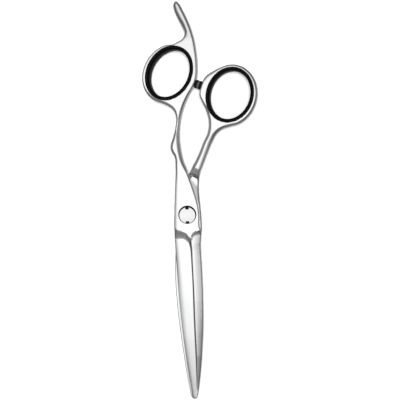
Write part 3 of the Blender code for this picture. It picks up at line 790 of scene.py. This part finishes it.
def moulded(name, base, lighter, rough, grain, depth, specular=0.5):
    """Moulded plastic or rubber: fine texture, slight mottling, and edges rubbed paler."""
    n = Nodes(name)
    n.set(Metallic=0.0, Specular_IOR_Level=specular)
    texture = n.noise(grain, 4.0, 0.65)
    mottle = n.noise((0.4, 0.4, 0.4), 3.0, 0.6)
    wear = n.ramp(n.add("ShaderNodeNewGeometry").outputs["Pointiness"], 0.0, 1.0, 0.53, 0.66)
    tone = n.math("ADD", n.ramp(mottle, 0.0, 0.6), n.math("MULTIPLY", wear, 0.5))
    n.link(n.mix(tone, base, lighter), n.shader.inputs["Base Color"])
    n.link(n.math("ADD", n.ramp(mottle, rough - 0.05, rough + 0.05), n.ramp(texture, -0.05, 0.07)),
           n.shader.inputs["Roughness"])
    n.bump(texture, 0.6, depth)
    return n.material


def lathe_steel(name, light, dark, rough):
    """Turned steel: fine rings round the Z axis."""
    n = Nodes(name)
    n.set(Metallic=1.0)
    place = n.coordinates((1, 1, 1))
    rings = n.add("ShaderNodeTexWave", {"Scale": 2.6, "Distortion": 0.25, "Detail": 2.0, "Detail Scale": 1.5},
                  wave_type="RINGS", rings_direction="Z")
    n.link(place, rings.inputs["Vector"])
    smudge = n.noise((0.35, 0.3, 0.35), 3.0, 0.6)
    worn = n.ramp(n.add("ShaderNodeNewGeometry").outputs["Pointiness"], 0.0, 1.0, 0.52, 0.62)
    tone = n.math("ADD", n.ramp(smudge, 0.1, 0.8), n.math("MULTIPLY", worn, 0.3))
    n.link(n.mix(tone, dark, light), n.shader.inputs["Base Color"])
    n.link(n.math("ADD", n.ramp(smudge, rough - 0.03, rough + 0.05), n.ramp(rings.outputs["Fac"], -0.02, 0.04)),
           n.shader.inputs["Roughness"])
    n.bump(rings.outputs["Fac"], 0.35, 0.004)
    return n.material


POLISHED = steel("polished_steel_look", (0.9, 0.9, 0.905), (0.83, 0.835, 0.84), 0.13, (14, 0.5, 14), 0.0012)
SCREW_STEEL = lathe_steel("turned_steel_look", (0.88, 0.88, 0.885), (0.78, 0.785, 0.79), 0.2)
BLACK_PLASTIC = moulded("black_plastic_look", (0.003, 0.003, 0.0032), (0.01, 0.01, 0.0105), 0.5, (7, 7, 7), 0.006,
                        0.12)
RUBBER = moulded("black_rubber_look", (0.003, 0.003, 0.003), (0.009, 0.009, 0.009), 0.6, (9, 9, 9), 0.01, 0.1)
STUD_PLASTIC = moulded("stud_plastic_look", (0.06, 0.06, 0.062), (0.09, 0.09, 0.092), 0.4, (6, 6, 6), 0.006, 0.3)
GLIDE_PLASTIC = moulded("glide_plastic_look", (0.72, 0.72, 0.69), (0.86, 0.86, 0.83), 0.4, (5, 5, 5), 0.008)
# Black that stands in for shade: painted into the screw's recess, on the head's side and in its key notches.
PAINTED_SHADE_BLACK = moulded("painted_shade_black", (0.004, 0.004, 0.004), (0.012, 0.012, 0.012), 0.6, (8, 8, 8), 0.006, 0.1)
BRASS = steel("machined_brass_look", (0.8, 0.64, 0.36), (0.66, 0.5, 0.25), 0.24, (3, 3, 3), 0.002)


# ---------------------------------------------------------------- the halves

def make_finger_half():
    """The near half, with the recess for the screw's head and the bore for its bush."""
    faces = BladeFaces(FINGER_SPINE, FINGER_EDGE, FINGER_STEP, 1.0, False)
    ring = ellipse(*FINGER_RING)
    whole = outline(with_drop(FINGER_SPINE + FINGER_RIGHT + FINGER_REST + ring + FINGER_LEFT + FINGER_EDGE))
    hole_radii = [r - LIP for r in FINGER_INSERT]
    hole = outline(with_drop(ellipse(FINGER_CENTRE, hole_radii, FINGER_TILT, 360, 0, HOLE_EDGE)[:-1]))
    half = half_mesh("finger_half_fine", faces, [whole, hole], blade_points(faces))
    recess = turned("recess", HEAD_RECESS, 128)
    recess.location.y = RECESS_OFFSET * MM
    for piece in (recess, half):
        piece.data.materials.append(POLISHED)
        piece.data.materials.append(PAINTED_SHADE_BLACK)
    # The recess's wall and floor are painted black as shade, for the dark gap round the screw's head.
    for face in recess.data.polygons:
        face.material_index = int(face.center.z < (PLATE_TOP - RECESS_BEVEL) * MM)
    cut(half, recess)
    shade(half, POLISHED)
    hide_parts("finger_half")
    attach(half, "finger_body")


def make_thumb_half():
    """The far half, with the recess for the glide disc, the nut's bore and the hole for the bumper's stem."""
    faces = BladeFaces(THUMB_SPINE, THUMB_EDGE, THUMB_STEP, 0.0, True)
    ring = ellipse(*THUMB_RING)
    whole = outline(with_drop(THUMB_SPINE + THUMB_RIGHT + ring + THUMB_LEFT + THUMB_EDGE))
    hole_radii = [r - LIP for r in THUMB_INSERT]
    hole_centre = (-THUMB_CENTRE[0], THUMB_CENTRE[1])
    hole = outline(with_drop(ellipse(hole_centre, hole_radii, -THUMB_TILT, 360, 0, HOLE_EDGE)[:-1]))
    half = half_mesh("thumb_half_fine", faces, [whole, hole], blade_points(faces))
    half.data.transform(Matrix.Translation((0, 0, 2 * CUT_PLANE * MM)) @ Matrix.Rotation(math.pi, 4, "Y"))
    recess = turned("recess", DISC_RECESS)
    stem = turned("stem", STEM_HOLE, 32, bumper_place())
    cut(half, recess, stem)
    shade(half, POLISHED)
    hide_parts("thumb_half")
    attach(half, "thumb_body")


def bumper_place():
    """The bumper's frame: origin in the facet's middle, +Z out of the facet to the finger ring."""
    high, low = Vector((*FACET_HIGH, CUT_PLANE)), Vector((*FACET_LOW, CUT_PLANE))
    along = (high - low).normalized()
    out = Vector((-along.y, along.x, 0))
    place = Matrix((along, out.cross(along), out)).transposed().to_4x4()
    place.translation = (high + low) / 2 * MM
    return place


def make_bumper():
    """The bumper: a black flanged stud with a grey collar, and a rubber pad on it towards the finger ring."""
    stud = turned("bumper_stud_fine", rounded(STUD, 0.12), 64, bumper_place())
    stud.data.materials.append(STUD_PLASTIC)
    stud.data.materials.append(BLACK_PLASTIC)
    out, foot = bumper_place().col[2].xyz, bumper_place().translation
    for face in stud.data.polygons:
        face.material_index = int((face.center - foot).dot(out) < COLLAR_START * MM)
    pad = turned("bumper_pad_fine", rounded(PAD, 0.25, 5), 64, bumper_place())
    for piece, node, slot in ((stud, "bumper_stud", "stud_plastic"), (pad, "bumper_pad", "black_rubber")):
        shade(piece, RUBBER, 40)
        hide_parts(node)
        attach(piece, "thumb_body")


def make_inserts():
    """The two black ring inserts, each a little thicker on its left side."""
    for node, centre, radii, tilt, thicker, body in (
            ("finger_ring_insert", FINGER_CENTRE, FINGER_INSERT, FINGER_TILT, 0.65, "finger_body"),
            ("thumb_ring_insert", THUMB_CENTRE, THUMB_INSERT, THUMB_TILT, 0.3, "thumb_body")):
        piece = ring_insert(node + "_fine", centre, radii, tilt, thicker)
        shade(piece, BLACK_PLASTIC, 50)
        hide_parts(node)
        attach(piece, body)


def key_notch(sign):
    """A helper wedge for one key notch in the rim of the screw's head, deepest at the rim."""
    bm = bmesh.new()
    near, far = NOTCH_BOTTOM
    section = [(near[0], OPEN_TOP), near, far, (far[0], OPEN_TOP)]
    ends = [[bm.verts.new(Vector((x, y, z)) * MM) for y, z in section] for x in (-NOTCH_WIDTH / 2, NOTCH_WIDTH / 2)]
    bm.faces.new(ends[0])
    bm.faces.new(ends[1][::-1])
    for i in range(4):
        j = (i + 1) % 4
        bm.faces.new((ends[0][j], ends[0][i], ends[1][i], ends[1][j]))
    bmesh.ops.rotate(bm, matrix=Matrix.Rotation(0 if sign > 0 else math.pi, 3, "Z"), verts=bm.verts)
    bmesh.ops.recalc_face_normals(bm, faces=bm.faces)
    block = new_object("notch", bm)
    block.data.materials.append(SCREW_STEEL)
    block.data.materials.append(PAINTED_SHADE_BLACK)
    # Every face of the notch is painted black as shade; the cut leaves it on the notch's floor and sides.
    for face in block.data.polygons:
        face.material_index = 1
    return block


def make_screw():
    """The screw: a low domed head with two key notches, its shank, and a thread of plain grooves. The notches and the
    head's side are painted black as shade.
    """
    dome = [(r, DOME_TOP - HEAD_DOME * (r / HEAD_EDGE) ** 2) for r in np.linspace(0, HEAD_EDGE, 9)]
    profile = dome + rounded([dome[-1]] + SCREW_SIDE, 0.1, 3)[1:]
    for turn in range(3):
        top = THREAD_TOP - THREAD_PITCH * turn
        profile += [(THREAD_RADIUS, top), (THREAD_ROOT, top - THREAD_PITCH / 2)]
    screw = turned("pivot_screw_fine", profile + SCREW_END, 128)
    screw.data.materials.append(SCREW_STEEL)
    screw.data.materials.append(PAINTED_SHADE_BLACK)
    # The head's side below its rim is painted black as shade, for the dark gap in the recess.
    for face in screw.data.polygons:
        if face.center.xy.length > HEAD_SIDE * MM and face.center.z < HEAD_SIDE_TOP * MM:
            face.material_index = 1
    cut(screw, key_notch(1), key_notch(-1))
    shade(screw, SCREW_STEEL)
    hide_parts("pivot_screw")
    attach(screw, "screw_body")


def make_nut():
    """The flanged nut, turned round all over, with its thread's hole."""
    nut = turned("nut_insert_fine", [NUT[0]] + rounded(NUT[1:], 0.06, 3), 96)
    shade(nut, BRASS)
    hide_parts("nut_insert")
    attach(nut, "thumb_body")


def paint_kept_nodes():
    """The CAD nodes that stay get their finished materials."""
    looks = {"spring_washer": SCREW_STEEL, "head_glide_washer": GLIDE_PLASTIC, "pivot_bush": GLIDE_PLASTIC,
             "blade_glide_disc": GLIDE_PLASTIC, "thread_lock_ring": GLIDE_PLASTIC}
    for name, look in looks.items():
        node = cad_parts[name]
        node.data.materials.clear()
        node.data.materials.append(look)


# ---------------------------------------------------------------- studio

def make_world():
    """A wide white ceiling that fades to grey sides, darkest at the horizon."""
    world = bpy.data.worlds.new("studio")
    bpy.context.scene.world = world
    world.use_nodes = True
    tree = world.node_tree
    background = tree.nodes["Background"]
    direction = tree.nodes.new("ShaderNodeTexCoord").outputs["Generated"]
    split = tree.nodes.new("ShaderNodeSeparateXYZ")
    tree.links.new(direction, split.inputs[0])

    def curve(source, stops):
        """Brightness along one component of the direction, from -1 to 1."""
        shift = tree.nodes.new("ShaderNodeMapRange")
        shift.inputs["From Min"].default_value = -1
        tree.links.new(source, shift.inputs["Value"])
        ramp = tree.nodes.new("ShaderNodeValToRGB")
        tree.links.new(shift.outputs["Result"], ramp.inputs["Fac"])
        ramp.color_ramp.interpolation = "LINEAR"
        elements = ramp.color_ramp.elements
        while len(elements) > 1:
            elements.remove(elements[-1])
        for index, (component, value) in enumerate(stops):
            element = elements[0] if index == 0 else elements.new((component + 1) / 2)
            element.position = (component + 1) / 2
            element.color = (value, value, value, 1)
        return ramp.outputs["Color"]

    def multiply(a, b):
        node = tree.nodes.new("ShaderNodeMix")
        node.data_type = "RGBA"
        node.blend_type = "MULTIPLY"
        node.inputs["Factor"].default_value = 1
        tree.links.new(a, node.inputs["A"])
        tree.links.new(b, node.inputs["B"])
        return node.outputs["Result"]

    across = curve(split.outputs["X"], CEILING_X)
    along = curve(split.outputs["Y"], CEILING_Y)
    ceiling = multiply(across, along)
    level = curve(split.outputs["Z"], SIDES_Z)
    share = curve(split.outputs["Z"], CEILING_SHARE_Z)
    blend = tree.nodes.new("ShaderNodeMix")
    blend.data_type = "RGBA"
    tree.links.new(share, blend.inputs["Factor"])
    tree.links.new(level, blend.inputs["A"])
    tree.links.new(ceiling, blend.inputs["B"])
    seen = tree.nodes.new("ShaderNodeMix")
    seen.data_type = "RGBA"
    tree.links.new(tree.nodes.new("ShaderNodeLightPath").outputs["Is Camera Ray"], seen.inputs["Factor"])
    tree.links.new(blend.outputs["Result"], seen.inputs["A"])
    seen.inputs["B"].default_value = (1, 1, 1, 1)
    tree.links.new(seen.outputs["Result"], background.inputs["Color"])
    background.inputs["Strength"].default_value = WORLD_STRENGTH


def make_floor():
    """A plain pale floor just under the shears."""
    bm = bmesh.new()
    bmesh.ops.create_grid(bm, x_segments=2, y_segments=2, size=3.0)
    floor = new_object("studio_floor", bm)
    n = Nodes("floor_paint")
    n.set(Roughness=0.8, Specular_IOR_Level=0.1)
    n.link(n.mix(n.noise((0.004, 0.004, 0.004)), (0.9, 0.9, 0.9), (0.93, 0.93, 0.93)), n.shader.inputs["Base Color"])
    floor.data.materials.append(n.material)
    floor.location.z = -0.0002
    floor.visible_glossy = False


def make_light():
    """A soft key lamp from the camera's side, so that shadows fall behind the shears."""
    lamp = bpy.data.lights.new("key", "SUN")
    lamp.angle = math.radians(25)
    lamp.energy = KEY_STRENGTH
    made = bpy.data.objects.new("key", lamp)
    made.rotation_euler = camera_back().to_track_quat("Z", "Y").to_euler()
    made.visible_glossy = False
    bpy.context.scene.collection.objects.link(made)


def camera_back():
    """The direction from the shears to the camera."""
    return Vector((math.tan(math.radians(LEAN_RIGHT)), 0, 1)).normalized()


def make_camera():
    """A long lens nearly straight above the shears."""
    camera = bpy.data.cameras.new("camera")
    camera.sensor_width = 36
    camera.lens = 36 * DISTANCE / VIEW_WIDTH
    camera.clip_end = 20
    made = bpy.data.objects.new("camera", camera)
    bpy.context.scene.collection.objects.link(made)
    back = camera_back()
    up = Vector((math.sin(math.radians(ROLL)), math.cos(math.radians(ROLL)), 0))
    right = up.cross(back).normalized()
    turn = Matrix((right, back.cross(right), back)).transposed().to_4x4()
    turn.translation = (Vector(AIM) + back * DISTANCE) * MM
    made.matrix_world = turn
    bpy.context.scene.camera = made


make_camera()
make_finger_half()
make_thumb_half()
make_bumper()
make_inserts()
make_screw()
make_nut()
paint_kept_nodes()
make_world()
make_light()
make_floor()
bpy.context.scene.view_settings.view_transform = "Standard"
